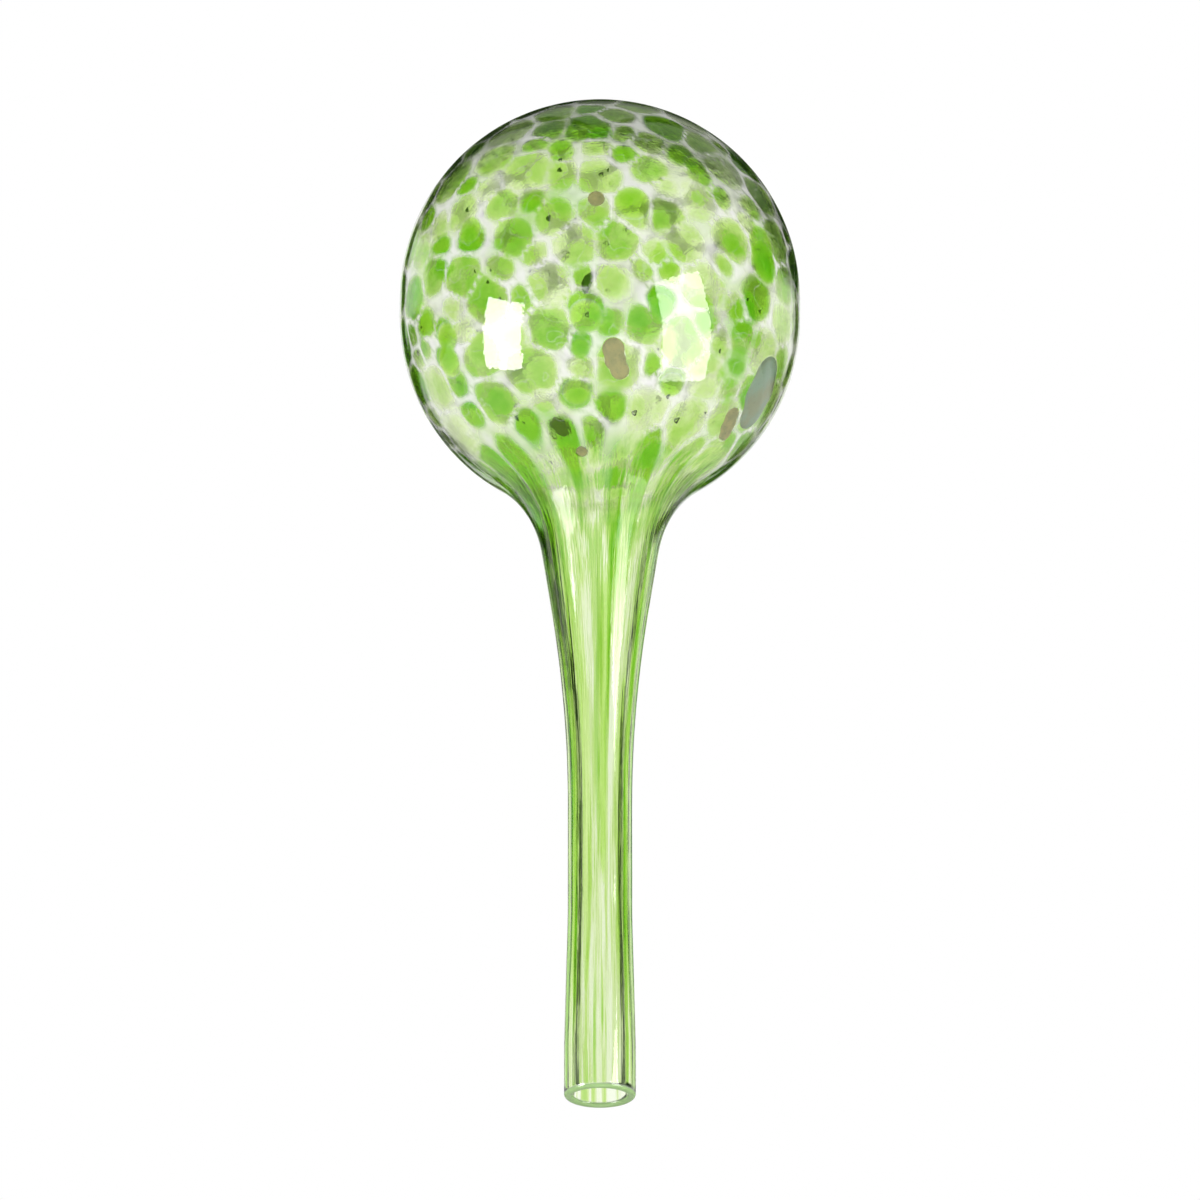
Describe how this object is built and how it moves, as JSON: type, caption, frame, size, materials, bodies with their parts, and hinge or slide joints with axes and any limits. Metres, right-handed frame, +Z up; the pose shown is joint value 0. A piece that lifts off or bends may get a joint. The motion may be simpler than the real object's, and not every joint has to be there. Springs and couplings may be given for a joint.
{
  "type": "watering globe",
  "caption": "Blown glass watering globe: a hollow spotted bulb on a long tapering stem with an open fire-polished tip that is pushed into potting soil.",
  "frame": {"origin": "centre of the open tip's rim, at the lowest point of the globe", "axes": "+Z up the stem's axis from the tip to the crown of the bulb, -Y towards the side that the picture shows"},
  "size_m": [0.08, 0.08, 0.2075],
  "materials": {
    "clear_glass": "clear glass with a pale green cast, fire-polished",
    "deep_green_glass": "transparent deep green glass, fire-polished",
    "light_green_glass": "transparent yellow-green glass, fire-polished",
    "tan_glass": "opaque tan glass, fire-polished",
    "blue_grey_glass": "opaque blue-grey glass, fire-polished"
  },
  "bodies": {
    "root": {"glass_wall": "clear_glass", "deep_green_frit": "deep_green_glass", "light_green_frit": "light_green_glass", "tan_frit": "tan_glass", "blue_grey_frit": "blue_grey_glass"}
  },
  "joints": []
}
